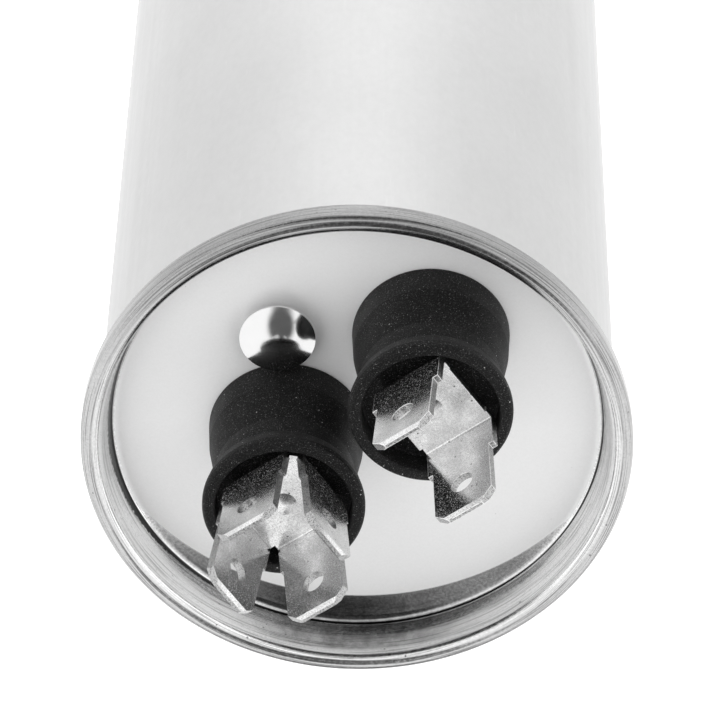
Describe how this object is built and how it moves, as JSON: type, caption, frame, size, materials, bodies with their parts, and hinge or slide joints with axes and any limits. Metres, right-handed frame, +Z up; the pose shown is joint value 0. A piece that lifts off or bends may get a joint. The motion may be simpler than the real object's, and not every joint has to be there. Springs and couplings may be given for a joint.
{
  "type": "motor run capacitor",
  "caption": "Round metal-can film capacitor for motors, with push-on terminal tabs on insulating posts in a recessed, rolled-on lid.",
  "frame": {"origin": "centre of the flat base of the can", "axes": "+Z up along the can to the terminals; -Y towards the side of the lid where the two-way post and the filling plug stand"},
  "size_m": [0.0532, 0.0532, 0.1191],
  "materials": {
    "can": "satin drawn aluminium",
    "lid": "bright tinplate",
    "plug": "polished dome",
    "insulator": "black moulded plastic, faintly dusty",
    "terminal": "bright tinned steel with sheared edges",
    "rivet": "bright tinned steel",
    "rubber": "matte black",
    "seal": "cured sealing compound",
    "washer": "brown laminate",
    "lug": "plain brass",
    "wire": "tinned wire",
    "sleeve": "woven insulating sleeving",
    "film": "metallised film, wound",
    "spray": "rough sprayed zinc",
    "liner": "wrapped insulation",
    "plastic": "natural polypropylene"
  },
  "bodies": {
    "root": {"can_shell": "can", "seam_seal": "seal", "lid": "lid", "fill_plug": "plug", "plug_washer": "rubber", "four_way_insulator": "insulator", "two_way_insulator": "insulator", "four_way_gasket": "rubber", "two_way_gasket": "rubber", "four_way_inner_washer": "washer", "two_way_inner_washer": "washer", "four_way_terminal": "terminal", "two_way_terminal": "terminal", "four_way_rivet": "rivet", "two_way_rivet": "rivet", "four_way_lug": "lug", "two_way_lug": "lug", "four_way_wire": "wire", "two_way_wire": "wire", "four_way_sleeve": "sleeve", "two_way_sleeve": "sleeve", "winding": "film", "core_tube": "plastic", "top_end_spray": "spray", "bottom_end_spray": "spray", "liner_sleeve": "liner", "base_cushion": "plastic", "top_spacer": "plastic"}
  },
  "joints": []
}
